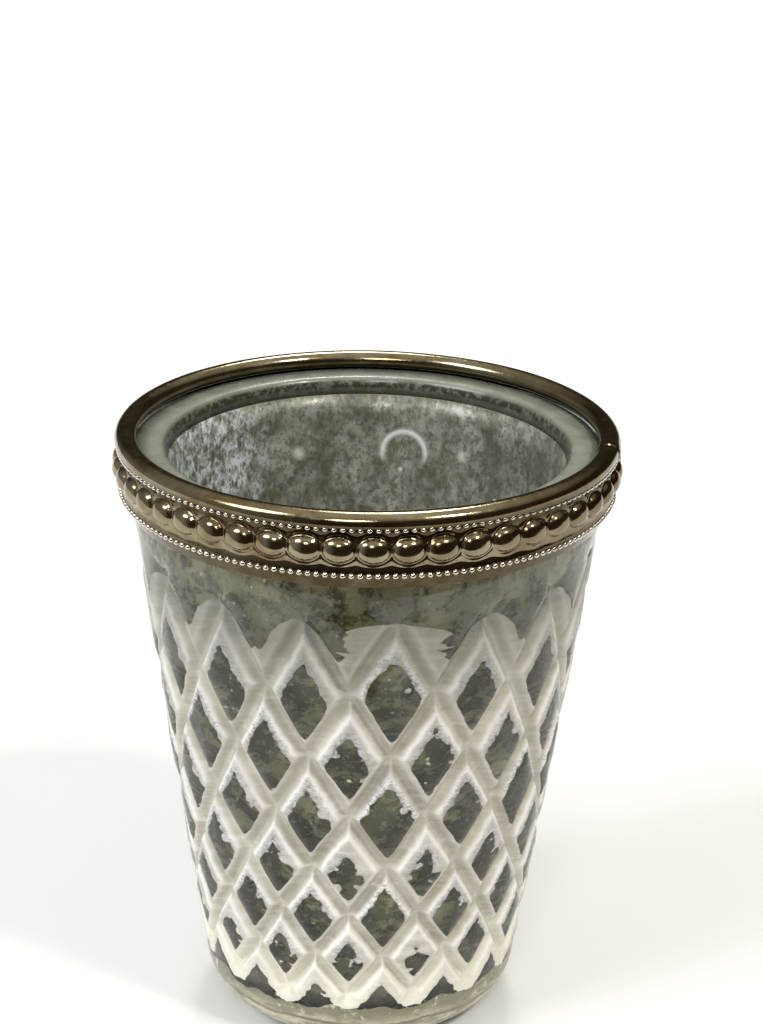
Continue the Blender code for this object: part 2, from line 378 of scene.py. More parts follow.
def build_foot_light_sheet(material):
    """Thin pale sheet round the foot's rounded edge, with an uneven top: painted light standing in for the
    floor seen through the bare clear glass of the foot.
    """
    angle = ring_angles(384)
    top = FILM_TOP_Z + 4.0 * fractal(around(angle, 24.0, 5.0), 4.0, 4, 111)
    share = np.linspace(0.0, 1.0, 24)[:, None]
    z = FILM_LOW_Z + share * (top - FILM_LOW_Z)
    inner = around(angle, cone_r(z) - 0.25, z)[::-1]
    sunk = relief(Diamonds(angle, z)) * step(4.0, 5.0, z)
    outer = around(angle, cone_r(z) - sunk + 0.02, z)
    return closed_ring("foot_light_sheet", np.concatenate((inner, outer)), material, "whitewash")


# ---------------------------------------------------------------- brushed paint

def near_turn(turn, parity):
    """Distance to the nearest even (0) or odd (1) half-diamond step round the cup."""
    return np.abs(np.mod(turn - parity + 1.0, 2.0) - 1.0)


def from_front(turn):
    """Half-diamond steps away from the diamond column that faces the viewer."""
    return np.mod(turn - 2.0 + CELLS, 2 * CELLS) - CELLS


def paint_amount(places):
    """Positive where paint stays on the glass, in shares of a diamond's width."""
    fine = fractal(places.points, 1.1, 4, 21)
    broad = fractal(places.points, 5.0, 2, 31)
    messy = places.cell_random(3)
    even = 1.0 - np.mod(places.cell_row, 2.0)
    missed = even * np.exp(-(from_front(places.turn) / 1.6) ** 2)
    tidy = (1.0 - even) * step(1.0, 3.0, places.cell_row)
    other = 1.0 - np.exp(-(from_front(places.cell_turn) / 0.8) ** 2)
    deep = step(3.5, 6.5, places.cell_row)
    upper = PAINT_ABOVE + 0.06 * messy * other + 0.03 * other + 0.10 * missed - 0.02 * tidy + 0.10 * broad
    lower = PAINT_BELOW + 0.03 * messy * other + 0.05 * missed - 0.02 * tidy + 0.04 * broad
    upper = upper + 0.03 * deep + 0.04 * other * (places.cell_row == 1)
    upper = np.where(places.cell_row == ROWS - 1, PAINT_ABOVE_LAST_ROW + 0.06 * broad, upper)
    lower = lower + 0.04 * deep
    ragged = 0.12 * fine
    left = places.upper_left - upper - ragged
    right = places.upper_right - upper - 0.03 * messy - 1.3 * ragged
    top = soft_min(left, right, 0.03)
    top = np.where(places.cell_row <= 0, 1.0, top)
    lower = np.where(places.cell_row <= 0, PAINT_BELOW_FIRST_ROW + 0.06 * broad, lower)
    bottom_right = places.lower_right - lower - 0.25 * ragged
    bottom_left = places.lower_left - lower - 0.25 * ragged
    bottom = soft_min(bottom_right, bottom_left, 0.12)
    bottom = np.where(places.cell_row >= ROWS - 1, 1.0, bottom)
    paint = -soft_min(top, bottom, 0.11)
    outside = (places.cell_row < 0) | (places.cell_row >= ROWS)
    paint = np.where(outside, 0.2, paint)
    paint = np.maximum(paint, left_over(places, paint, messy))
    return trim_ends(places, paint, fine)


def left_over(places, paint, messy):
    """Dabs of paint that the cloth missed inside the clear windows."""
    stretched = places.points * np.array((1.0, 1.0, 1.6))
    dabs = fractal(stretched, 1.9, 2, 51) + 0.5 * fractal(places.points, 0.7, 2, 61)
    near = np.exp(-(from_front(places.turn) / 2.5) ** 2)
    deep = step(3.0, 5.0, places.cell_row)
    even = (1.0 - np.mod(places.cell_row, 2.0)) * (places.cell_row > 0)
    more = (0.08 + 0.16 * near + 0.05 * deep) * even
    away = (places.upper_left - 0.60) ** 2 + (places.upper_right - 0.34 + 0.1 * messy) ** 2
    bite = 0.42 * step(0.2, 0.5, messy) * np.exp(-away / 0.012)
    return 0.5 * (dabs - 0.40 + 0.12 * messy + more + bite + 0.45 * paint)


def trim_ends(places, paint, fine):
    """Ends of the paint: arched crests and a brushed patch on top, blunt tips below."""
    side = from_front(places.turn)
    over = near_turn(places.turn - 0.22 * np.clip(side, -1.0, 1.0), 0)
    waves = fractal(places.points, 6.0, 2, 45)
    crest = places.row + 0.01 + 0.16 * waves - 0.50 * over ** 1.25 - 0.05 * fine
    crest = crest - 0.16 * np.exp(-side ** 2)
    streaks = places.points * np.array((0.22, 0.22, 1.4))
    brushed = fractal(streaks, 1.0, 3, 41)
    patch_sides = 1.08 + 1.1 * brushed - np.abs(side)
    patch_top = 4.0 * (places.row - 0.01 + 0.2 * waves - 0.09 * np.abs(side) ** 3)
    patch = np.minimum(patch_sides, patch_top) - 0.02
    patch = np.minimum(patch, 2.0 * (PATCH_LOW_ROW - places.row))
    under = near_turn(places.turn, 1)
    tip = PAINT_TIP_ROW - places.row - 0.2 * under - 0.25 * fine
    paint = np.minimum(paint, 0.5 * crest)
    paint = np.maximum(paint, 0.3 * patch)
    return np.minimum(paint, 0.5 * tip)


def cut_grid(amount):
    """Faces of a grid clipped where the amount crosses zero; columns close round the axis.

    Returns vertex places as (row, column) numbers with fractions, and the faces.
    """
    rows, columns = amount.shape
    numbers = {}
    places = []
    faces = []
    inside = amount > 0.0

    def vertex(key, row, column):
        """Number of the vertex with this key, added at (row, column) if it's new."""
        if key not in numbers:
            numbers[key] = len(places)
            places.append((row, column))
        return numbers[key]

    wrapped = np.concatenate((inside, inside[:, :1]), 1)
    touched = wrapped[:-1, :-1] | wrapped[:-1, 1:] | wrapped[1:, 1:] | wrapped[1:, :-1]
    for row, column in zip(*np.nonzero(touched)):
        row = int(row)
        column = int(column)
        corners = ((row, column), (row, column + 1), (row + 1, column + 1), (row + 1, column))
        face = []
        for here, there in zip(corners, corners[1:] + corners[:1]):
            key = (here[0], here[1] % columns)
            next_key = (there[0], there[1] % columns)
            a = amount[key]
            b = amount[next_key]
            if a > 0.0:
                face.append(vertex(key, *key))
            if (a > 0.0) != (b > 0.0):
                t = a / (a - b)
                spot = (here[0] + t * (there[0] - here[0]), here[1] + t * (there[1] - here[1]))
                face.append(vertex(tuple(sorted((key, next_key))), *spot))
        if len(face) > 2:
            faces.append(face)
    return np.array(places), faces


def build_paint(material):
    """White paint as a thin skin with ragged, brushed edges."""
    columns = 48 * CELLS
    high = np.linspace(84.0, 5.5, 262)
    places, faces = cut_grid(paint_amount(Diamonds(ring_angles(columns), high[:, None])))
    angle = places[:, 1] * math.tau / columns
    z = np.interp(places[:, 0], np.arange(len(high)), high)
    spots = Diamonds(angle, z)
    amount = paint_amount(spots)
    strokes = fractal(spots.points * np.array((0.3, 0.3, 1.4)), 0.5, 2, 71)
    thick = PAINT_FILM + PAINT_BODY * step(0.0, 0.05, amount) * (1.0 + 0.5 * strokes)
    points = around(angle, cone_r(z) - relief(spots) + thick, z)
    faces = [face[::-1] for face in faces]
    piece = make_piece("paint", points, faces, material, "whitewash")
    upper = np.minimum(spots.upper_left, spots.upper_right)
    lower = np.minimum(spots.lower_left, spots.lower_right)
    fine = fractal(spots.points, 1.5, 2, 75)
    add_attribute(piece, "film", np.clip(amount / 0.2, 0.0, 1.0))
    # upper_side and shoulder place the paint material's painted lit and shaded colours and its painted
    # shoulder highlight.
    add_attribute(piece, "upper_side", step(-0.08, 0.08, lower - upper))
    add_attribute(piece, "shoulder", np.exp(-((spots.edge() - 0.135 - 0.06 * fine) / 0.036) ** 2))


# ---------------------------------------------------------------- silver coat

def coat_shell(name, near, far, material):
    """Closed thin cup between two distances in from the glass."""
    def side(inset):
        """Outline from the top of the wall to the middle of the floor."""
        top = inside_r(COAT_TOP_Z) - inset
        low = inside_r(COAT_SPLIT_Z) - inset
        wall = list(zip(np.linspace(top, low, 24), np.linspace(COAT_TOP_Z, COAT_SPLIT_Z, 24)))
        corner = floor_corner(inset, 9)
        return wall + corner + [(0.01, corner[-1][1])]

    columns = 192
    outline = side(near)[::-1] + side(far)
    points = turned(outline, columns)
    faces = grid_faces(len(outline), columns)
    last = (len(outline) - 1) * columns
    faces.append(list(range(columns))[::-1])
    faces.append(list(range(last, last + columns)))
    return make_piece(name, points.reshape(-1, 3), faces, material, "inner_silvering")


# ---------------------------------------------------------------- metal band

def band_outline():
    """Outer side of the strip from its lower edge, over the hem and back down inside."""
    lower = rounded([(37.3, 87.35), (37.4, 87.0), (37.75, 87.1), (38.55, 88.8), (38.75, 89.6)], 0.5)
    lower += rounded([(38.7, 90.0), (38.5, 90.7), (38.65, 91.3), (38.75, 92.0)], 0.6)
    belt = [(38.78, z) for z in np.linspace(92.2, 94.4, 10)]
    upper = rounded([(38.75, 94.6), (38.65, 95.2), (38.85, 95.8), (38.95, 96.3), (38.9, 96.75)], 0.5)
    hem = []
    for turn in np.linspace(-0.22 * math.pi, 1.22 * math.pi, 26):
        hem.append((HEM_R + HEM_HALF_WIDTH * math.cos(turn), HEM_Z + HEM_HALF_HEIGHT * math.sin(turn)))
    inner = [(36.6, 96.35), (38.2, 96.3), (38.2, 95.2), (38.3, 93.2), (38.1, 90.9), (37.9, 89.4)]
    outline = dense(lower + belt + upper, 0.22) + hem
    return outline, inner


def dense(outline, spacing):
    """Outline with points added so that none are further apart than the spacing."""
    result = [outline[0]]
    for a, b in zip(outline, outline[1:]):
        count = max(1, int(math.ceil(math.dist(a, b) / spacing)))
        for i in range(1, count + 1):
            result.append((a[0] + (b[0] - a[0]) * i / count, a[1] + (b[1] - a[1]) * i / count))
    return result


def bead_lift(angle, z):
    """Height of the oval beads and of the thin ridge round each of them."""
    turn = (angle - BEAD_ANGLE) * BEADS / math.tau
    across = (turn - np.round(turn)) / 0.49
    along = (z - BEAD_Z) / BEAD_HALF_HEIGHT
    distance = np.sqrt(across ** 2 + along ** 2)
    dome = BEAD_RISE * np.clip(1.0 - distance ** 2, 0.0, 1.0) ** 0.62
    ridge = 0.14 * np.exp(-((distance - 1.22) / 0.11) ** 2)
    return dome + np.where(distance > 1.0, ridge, 0.0)


def seam_lift(angle):
    """Overlap of the strip's ends: a sharp step on one side, a soft one on the other."""
    past = (angle - SEAM_ANGLE) % math.tau
    return SEAM_RISE * np.where(past < SEAM_WIDTH, 1.0 - step(0.0, SEAM_WIDTH, past), 0.0)


def build_band(material):
    """Embossed strip with oval beads, a rolled hem and a lapped seam."""
    columns = 22 * BEADS
    angle = ring_angles(columns)
    outline, inner = band_outline()
    outline = np.array(outline)
    radius = outline[:, 0:1]
    z = outline[:, 1:2]
    on_belt = step(90.0, 90.4, z) * (1.0 - step(95.9, 96.2, z))
    radius = radius + on_belt * bead_lift(angle, z)
    away = np.stack(np.broadcast_arrays(radius - STRIP_CENTRE[0], z - STRIP_CENTRE[1]), -1)
    away = away / np.linalg.norm(away, axis=-1, keepdims=True)
    lift = seam_lift(angle)
    warp = 0.10 * fractal(around(angle, radius, z), 14.0, 2, 81)
    radius = radius + away[..., 0] * (lift + warp) - STRIP_SETBACK
    z = z + away[..., 1] * (0.5 * lift + warp) - STRIP_SETBACK
    points = np.concatenate((around(angle, radius, z), turned(inner, columns)))
    return closed_ring("band", points, material, "rim_band")


def build_beading(material):
    """Two rows of fine raised dots along the strip's edges."""
    dome = [(math.cos(t), math.sin(t)) for t in np.linspace(-0.25 * math.pi, 0.5 * math.pi, 5)]
    sides = FINE_BEAD_SIDES
    points = []
    faces = []
    for radius, z, slope in ((38.72, 89.25, -0.45), (38.98, 96.35, 0.1)):
        for i in range(FINE_BEADS):
            angle = math.tau * (i + 0.5) / FINE_BEADS + BEAD_ANGLE
            start = len(points)
            level = np.array((math.sin(angle), -math.cos(angle), 0.0))
            out = level * math.cos(slope) + np.array((0.0, 0.0, math.sin(slope)))
            side = np.array((math.cos(angle), math.sin(angle), 0.0))
            up = np.cross(side, out)
            centre = around(angle, radius - 0.08 + 0.5 * float(seam_lift(angle)), z)
            for wide, tall in dome[:-1]:
                for turn in np.arange(sides) * math.tau / sides:
                    flat = wide * (0.50 * math.cos(turn) * side + 0.46 * math.sin(turn) * up)
                    points.append(centre + flat + FINE_BEAD_RISE * tall * out)
            points.append(centre + FINE_BEAD_RISE * out)
            for ring in range(len(dome) - 2):
                here = start + sides * ring
                for k in range(sides):
                    j = (k + 1) % sides
                    faces.append([here + k, here + j, here + sides + j, here + sides + k])
            top = start + sides * (len(dome) - 2)
            for k in range(sides):
                faces.append([top + k, top + (k + 1) % sides, top + sides])
    return make_piece("beading", points, faces, material, "rim_band")


def build_adhesive(material):
    """Uneven ring of cured adhesive between the lip and the band."""
    corners = [(36.95, 89.8), (37.9, 89.7), (38.1, 91.5), (38.15, 94.0), (37.9, 95.5), (36.95, 95.6)]
    points = turned(rounded(corners, 0.4), 192)
    points[..., 2] += 0.3 * fractal(points, 3.0, 2, 91)
    return closed_ring("adhesive", points, material, "rim_adhesive")


# ---------------------------------------------------------------- materials

def fill_ramp(ramp, stops):
    """Stops of a colour ramp: (position, (r, g, b)) or (position, value)."""
    while len(ramp.elements) < len(stops):
        ramp.elements.new(0.5)
    for element, (position, colour) in zip(ramp.elements, stops):
        element.position = position
        shade = colour if isinstance(colour, tuple) else (colour, colour, colour)
        element.color = (*shade, 1.0)


class Nodes:
    """Short names for building a node material."""

    def __init__(self, name):
        self.material = bpy.data.materials.new(name)
        self.material.use_nodes = True
        self.tree = self.material.node_tree
        self.shader = self.tree.nodes["Principled BSDF"]
        self.place = self.add("ShaderNodeTexCoord").outputs["Object"]

    def add(self, kind, **settings):
        """New node with some of its properties set."""
        node = self.tree.nodes.new(kind)
        for key, value in settings.items():
            setattr(node, key, value)
        return node

    def link(self, source, target):
        """Link between two sockets."""
        self.tree.links.new(source, target)

    def stretch(self, x, y, z):
        """Object coordinates multiplied per axis."""
        node = self.add("ShaderNodeMapping")
        self.link(self.place, node.inputs["Vector"])
        node.inputs["Scale"].default_value = (x, y, z)
        return node.outputs["Vector"]

    def noise(self, size, detail=3.0, rough=0.55, vector=None):
        """Noise with features of a size in millimetres."""
        node = self.add("ShaderNodeTexNoise")
        self.link(vector or self.place, node.inputs["Vector"])
        node.inputs["Scale"].default_value = 1.0 / (size * MM)
        node.inputs["Detail"].default_value = detail
        node.inputs["Roughness"].default_value = rough
        return node.outputs["Fac"]

    def cells(self, size):
        """Distance to scattered points, which are about a size in millimetres apart."""
        node = self.add("ShaderNodeTexVoronoi")
        self.link(self.place, node.inputs["Vector"])
        node.inputs["Scale"].default_value = 1.0 / (size * MM)
        return node.outputs["Distance"]

    def attribute(self, name):
        """Number stored on the mesh's vertices."""
        return self.add("ShaderNodeAttribute", attribute_name=name).outputs["Fac"]

    def along(self, axis):
        """Object coordinate along an axis, in tenths of a metre."""
        parts = self.add("ShaderNodeSeparateXYZ")
        self.link(self.place, parts.inputs[0])
        return self.math("MULTIPLY", parts.outputs[axis], 10.0)

    def up(self):
        """Height above the foot, in tenths of a metre."""
        return self.along("Z")

    def near(self, point, outer, inner):
        """1 within the inner distance of a point and 0 beyond the outer one, in millimetres."""
        gap = self.add("ShaderNodeVectorMath", operation="DISTANCE")
        self.link(self.place, gap.inputs[0])
        gap.inputs[1].default_value = tuple(v * MM for v in point)
        gap = self.math("MULTIPLY", gap.outputs["Value"], 10.0)
        return self.ramp(gap, [(inner / 100.0, 1.0), (outer / 100.0, 0.0)])

    def ramp(self, source, stops):
        """Colour ramp of a source, with the stops that fill_ramp takes."""
        node = self.add("ShaderNodeValToRGB")
        self.link(source, node.inputs["Fac"])
        fill_ramp(node.color_ramp, stops)
        return node.outputs["Color"]

    def mix(self, share, first, second):
        """Blend of two colours by a share; each may be a colour or a socket."""
        node = self.add("ShaderNodeMix", data_type="RGBA")
        self.feed(node.inputs["Factor"], share)
        self.feed(node.inputs["A"], first, colour=True)
        self.feed(node.inputs["B"], second, colour=True)
        return [o for o in node.outputs if o.type == "RGBA"][0]

    def feed(self, target, value, colour=False):
        """Socket or constant into an input; the colour input of that name if it's a colour."""
        if colour:
            pair = [i for i in target.node.inputs if i.type == "RGBA" and i.name == target.name]
            target = pair[0]
        if isinstance(value, bpy.types.NodeSocket):
            self.link(value, target)
        elif colour:
            target.default_value = (*value, 1.0)
        else:
            target.default_value = value

    def math(self, operation, a, b=0.0):
        """Result of a math node."""
        node = self.add("ShaderNodeMath", operation=operation)
        self.feed(node.inputs[0], a)
        self.feed(node.inputs[1], b)
        return node.outputs[0]

    def bump(self, height, depth, strength=1.0):
        """Bump from a height source; depth is in millimetres."""
        node = self.add("ShaderNodeBump")
        self.link(height, node.inputs["Height"])
        node.inputs["Distance"].default_value = depth * MM
        node.inputs["Strength"].default_value = strength
        self.link(node.outputs["Normal"], self.shader.inputs["Normal"])

    def surface(self, colour, roughness):
        """Sources of the shader's colour and roughness."""
        self.link(colour, self.shader.inputs["Base Color"])
        self.link(roughness, self.shader.inputs["Roughness"])

    def set(self, **values):
        """Constants on the shader's own inputs."""
        for key, value in values.items():
            target = self.shader.inputs[key.replace("_", " ").title().replace("Ior", "IOR")]
            if isinstance(value, tuple):
                target.default_value = (*value, 1.0)
            else:
                self.feed(target, value)


def glass_material():
    """Clear glass with the faint ripple of a pressed surface."""
    n = Nodes("clear_glass")
    n.set(base_color=(0.98, 0.98, 0.94), ior=1.5, transmission_weight=1.0)
    n.link(n.ramp(n.noise(9.0), [(0.35, 0.02), (0.7, 0.07)]), n.shader.inputs["Roughness"])
    n.bump(n.noise(3.2, 2.0), 0.10, 0.6)
    return n.material


def paint_material():
    """Wiped white paint: thinner and greyer near the top, specked over the windows, paler towards the foot;
    painted light at the windows' edges: a cool lit colour above them, olive with painted shade below them,
    and a painted highlight along the diamonds' shoulders.
    """
    n = Nodes("white_paint")
    cream = n.ramp(n.noise(7.0, 3.0), [(0.3, (0.45, 0.43, 0.355)), (0.62, (0.66, 0.635, 0.555))])
    # Thin paint beside the windows: the cool colour above them is painted light, where the slopes face the
    # light; the olive below them is the coat through thin paint, with painted shade.
    cool = n.ramp(n.noise(2.2, 3.0), [(0.35, (0.50, 0.50, 0.575)), (0.65, (0.69, 0.69, 0.765))])
    olive = n.ramp(n.noise(3.0, 3.0), [(0.35, (0.36, 0.34, 0.265)), (0.65, (0.52, 0.50, 0.415))])
    film = n.attribute("film")
    upper = n.attribute("upper_side")
    thin = n.ramp(film, [(0.0, 0.85), (0.7, 0.0)])
    # Near the windows' edges the upper side takes the painted lit colour and the lower side the painted
    # shade.
    colour = n.mix(thin, cream, n.mix(upper, olive, cool))
    streaks = n.noise(1.1, 3.0, 0.6, n.stretch(0.14, 0.14, 1.3))
    colour = n.mix(n.ramp(streaks, [(0.52, 0.0), (0.70, 0.35)]), colour, (0.95, 0.93, 0.85))
    colour = n.mix(n.ramp(streaks, [(0.30, 0.38), (0.44, 0.0)]), colour, (0.36, 0.34, 0.28))
    # Painted highlight: near-white along the diamonds' shoulders, stronger on the slopes above the windows.
    rim = n.math("MULTIPLY", n.attribute("shoulder"), n.math("ADD", n.math("MULTIPLY", upper, 0.5), 0.4))
    colour = n.mix(rim, colour, (1.0, 0.99, 0.97))
    grain = n.noise(0.45, 4.0, 0.7, n.stretch(0.7, 0.7, 1.4))
    level = n.ramp(film, [(0.0, 0.50), (0.35, 0.42), (0.8, 0.30)])
    specks = n.ramp(n.math("SUBTRACT", grain, level), [(0.0, 1.0), (0.07, 0.0)])
    few = n.math("MULTIPLY", specks, n.ramp(film, [(0.1, 0.75), (0.8, 0.0)]))
    colour = n.mix(n.math("MULTIPLY", few, n.math("ADD", upper, 0.1)), colour, (0.30, 0.29, 0.27))
    wiped = n.ramp(n.up(), [(0.62, 0.0), (0.78, 0.62)])
    colour = n.mix(wiped, colour, (0.215, 0.215, 0.165))
    # Paler towards the foot.
    paler_towards_foot = n.ramp(n.up(), [(0.07, 0.85), (0.22, 0.0)])
    colour = n.mix(paler_towards_foot, colour, (0.93, 0.91, 0.78))
    n.surface(colour, n.ramp(n.noise(1.5), [(0.3, 0.26), (0.7, 0.42)]))
    n.bump(n.math("ADD", streaks, n.noise(0.8, 4.0, 0.6)), 0.09, 0.4)
    return n.material


def silver_inside_material():
    """Mottled silver seen through the mouth, with dark specks and pale blooms; painted light on it: a pale
    patch on the left wall, a faint ring reflection, two small spots and glints.
    """
    n = Nodes("mercury_silver")
    tall = n.stretch(1.0, 1.0, 0.75)
    bloom = n.ramp(n.noise(5.0, 5.0, 0.7, tall), [(0.40, (0.125, 0.13, 0.085)), (0.62, (0.37, 0.38, 0.31))])
    # Painted light: a pale bluish patch on the left inner wall, where light falls.
    painted_bright_patch = n.near((-26.0, 13.0, 85.0), 18.0, 9.0)
    fog = n.ramp(n.noise(1.6, 4.0, 0.65, tall), [(0.40, 0.0), (0.56, 1.0)])
    pale = n.math("MULTIPLY", fog, n.math("ADD", n.math("MULTIPLY", painted_bright_patch, 0.9), 0.10))
    colour = n.mix(pale, bloom, (0.86, 0.93, 1.0))
    brown = n.ramp(n.noise(1.7, 5.0, 0.75, tall), [(0.49, 0.0), (0.56, 1.0)])
    colour = n.mix(n.math("MULTIPLY", brown, 0.6), colour, (0.12, 0.12, 0.08))
    dark = n.ramp(n.noise(0.9, 4.0, 0.7, tall), [(0.53, 0.0), (0.60, 1.0)])
    colour = n.mix(n.math("MULTIPLY", dark, 0.7), colour, (0.09, 0.09, 0.075))
    # Painted reflection: a faint pale ring on the far wall, a lamp reflected in the coat.
    ring_reflection_centre = (6.3, 30.2, 83.3)
    painted_ring_reflection = n.near(ring_reflection_centre, 4.4, 3.9)
    painted_ring_reflection = n.math("MULTIPLY", painted_ring_reflection, n.math("SUBTRACT", 1.0, n.near(ring_reflection_centre, 3.8, 3.1)))
    painted_ring_reflection = n.math("MULTIPLY", painted_ring_reflection, n.ramp(n.up(), [(0.815, 0.0), (0.835, 0.9)]))
    colour = n.mix(painted_ring_reflection, colour, (0.95, 1.0, 1.0))
    # Painted glints: two small pale spots on the far wall.
    for spot, size in (((-11.9, 28.4, 83.6), 1.5), ((16.1, 26.3, 84.2), 1.3)):
        colour = n.mix(n.math("MULTIPLY", n.near(spot, size, 0.2), 0.9), colour, (1.0, 1.0, 0.93))
    # Scattered pale points: painted glints, with some pale specks of the coat.
    flecks_and_glints = n.ramp(n.cells(7.0), [(0.05, 1.0), (0.10, 0.0)])
    colour = n.mix(flecks_and_glints, colour, (1.0, 1.0, 0.95))
    n.set(metallic=0.2)
    n.surface(colour, n.ramp(n.noise(2.5), [(0.3, 0.25), (0.7, 0.5)]))
    n.bump(n.noise(1.1, 3.0), 0.08, 0.5)
    return n.material


def silver_back_material():
    """Back of the silver coat seen through the glass: olive with pale clouds; painted light: paler near the
    foot, a pale band near the top seen through the lip, and glints.
    """
    n = Nodes("mercury_silver_back")
    base = n.ramp(n.noise(5.0, 5.0, 0.6), [(0.38, (0.060, 0.054, 0.012)), (0.62, (0.145, 0.138, 0.052))])
    clouds = n.ramp(n.noise(3.4, 5.0, 0.72), [(0.49, 0.0), (0.58, 1.0)])
    colour = n.mix(n.math("MULTIPLY", clouds, 0.85), base, (0.54, 0.53, 0.31))
    spots = n.ramp(n.noise(0.9, 4.0, 0.7), [(0.585, 0.0), (0.63, 1.0)])
    colour = n.mix(n.math("MULTIPLY", spots, 0.6), colour, (0.55, 0.55, 0.47))
    neck = n.ramp(n.up(), [(0.66, 0.1), (0.76, 1.0)])
    pale = n.ramp(n.noise(4.0, 5.0, 0.75), [(0.44, 0.0), (0.56, 0.85)])
    colour = n.mix(n.math("MULTIPLY", neck, pale), colour, (0.50, 0.49, 0.33))
    # Scattered pale points: painted glints, with some pale specks of the coat.
    flecks_and_glints = n.ramp(n.cells(2.4), [(0.05, 1.0), (0.12, 0.0)])
    colour = n.mix(flecks_and_glints, colour, (0.95, 0.95, 0.90))
    # Painted light: paler near the foot, standing in for light reaching the foot through the clear glass.
    low = n.ramp(n.up(), [(0.07, 0.8), (0.16, 0.0)])
    colour = n.mix(low, colour, (0.66, 0.63, 0.48))
    # Painted light: a pale band near the top, which lights up the lip seen from above.
    high = n.ramp(n.up(), [(0.848, 0.0), (0.868, 0.9)])
    colour = n.mix(high, colour, (0.84, 0.84, 0.72))
    n.set(metallic=0.2)
    n.surface(colour, n.ramp(n.noise(2.0), [(0.3, 0.3), (0.7, 0.55)]))
    n.bump(n.noise(1.3, 3.0), 0.10, 0.6)
    return n.material


def lip_material():
    """Grey-green painted light for the lit glass of the lip on top; a dark speckled band on the inner side.
    """
    n = Nodes("lip_painted_light")
    # Grey-green: painted light in place of the light seen through the clear lip.
    colour = n.ramp(n.noise(5.0, 3.0), [(0.3, (0.19, 0.205, 0.165)), (0.7, (0.27, 0.285, 0.245))])
    # Dark speckled band on the inner side below the lip.
    stain = n.ramp(n.up(), [(0.940, 0.35), (0.9445, 1.0), (0.955, 1.0), (0.9575, 0.0)])
    spots = n.ramp(n.noise(1.2, 4.0, 0.7), [(0.40, 0.35), (0.52, 1.0)])
    colour = n.mix(n.math("MULTIPLY", stain, spots), colour, (0.045, 0.047, 0.027))
    n.surface(colour, n.ramp(n.noise(2.0), [(0.3, 0.15), (0.7, 0.35)]))
    n.bump(n.noise(2.5, 3.0), 0.05, 0.4)
    return n.material


def foot_light_material():
    """Cream and brown streaks round the foot: painted light for the floor seen through the clear glass
    foot.
    """
    n = Nodes("foot_painted_light")
    height = n.math("ADD", n.math("MULTIPLY", n.up(), 10.0), n.math("MULTIPLY", n.noise(7.0, 4.0), 0.22))
    # Streak colours by height: painted light for the floor seen through the clear glass foot.
    stops = [(0.16, (0.42, 0.40, 0.27)), (0.45, (0.58, 0.55, 0.40)), (0.63, (0.60, 0.57, 0.42))]
    stops += [(0.68, (0.17, 0.12, 0.065)), (0.73, (0.50, 0.475, 0.35)), (0.86, (0.30, 0.29, 0.195))]
    stops += [(1.0, (0.22, 0.21, 0.135))]
    colour = n.ramp(height, stops)
    haze = n.ramp(n.noise(1.6, 5.0, 0.7, n.stretch(0.35, 0.35, 1.0)), [(0.42, 0.0), (0.56, 0.75)])
    colour = n.mix(haze, colour, (0.20, 0.19, 0.125))
    curls = n.ramp(n.noise(1.7, 4.0, 0.7), [(0.58, 0.0), (0.64, 0.55)])
    high = n.ramp(n.up(), [(0.060, 0.0), (0.072, 1.0)])
    colour = n.mix(n.math("MULTIPLY", curls, high), colour, (0.74, 0.72, 0.60))
    n.surface(colour, n.ramp(n.noise(2.0), [(0.3, 0.1), (0.7, 0.3)]))
    n.bump(n.noise(1.5, 3.0, 0.5, n.stretch(0.3, 0.3, 1.0)), 0.08, 0.5)
    return n.material


def band_material(name, bright):
    """Warm nickel plate with light wear and random brown patches; painted dark reflection on the flange and
    in the channel under the hem, painted shade over the right side, and a lighter copy for the fine beads
    as a painted highlight.
    """
    n = Nodes(name)
    colour = n.ramp(n.noise(4.0, 4.0), [(0.3, (0.21, 0.175, 0.10)), (0.7, (0.35, 0.305, 0.205))])
    stain = n.ramp(n.noise(9.0, 3.0, 0.6), [(0.52, 0.0), (0.66, 1.0)])
    colour = n.mix(n.math("MULTIPLY", stain, 0.7), colour, (0.15, 0.085, 0.03))
    # Fine beads: a much lighter copy of the metal, as a painted highlight.
    if bright:
        colour = n.mix(n.ramp(n.noise(2.0), [(0.3, 0.7), (0.7, 1.0)]), colour, (0.80, 0.77, 0.68))
    else:
        # Painted shade: darker over the right side of the band.
        painted_right_shade = n.ramp(n.along("X"), [(0.15, 0.0), (0.34, 0.6)])
        # Painted dark reflection: near-black, patchy, on the flange and in the channel under the hem.
        low = n.ramp(n.up(), [(0.895, 0.93), (0.905, 0.0)])
        high = n.ramp(n.up(), [(0.945, 0.0), (0.952, 0.95), (0.968, 0.95), (0.975, 0.0)])
        patchy = n.ramp(n.noise(3.0), [(0.25, 0.75), (0.6, 1.0)])
        painted_channel_shade = n.math("MULTIPLY", n.math("MAXIMUM", low, high), patchy)
        colour = n.mix(painted_right_shade, colour, (0.15, 0.11, 0.06))
        colour = n.mix(painted_channel_shade, colour, (0.055, 0.040, 0.014))
    n.set(metallic=1.0)
    n.surface(colour, n.ramp(n.noise(1.2, 4.0), [(0.3, 0.09), (0.75, 0.22)]))
    n.bump(n.noise(0.9, 3.0), 0.03, 0.5)
    return n.material


def adhesive_material():
    """Cured yellowish glue, kept pale so that the lip seen through the glass reads light: partly painted
    light.
    """
    n = Nodes("band_adhesive")
    # Pale colour: partly painted light for the lip seen through the glass.
    colour = n.ramp(n.noise(3.0, 3.0), [(0.3, (0.76, 0.76, 0.66)), (0.7, (0.92, 0.92, 0.84))])
    n.link(colour, n.shader.inputs["Base Color"])
    n.set(roughness=0.45)
    n.bump(n.noise(1.5, 3.0), 0.1, 0.5)
    return n.material


# ---------------------------------------------------------------- studio

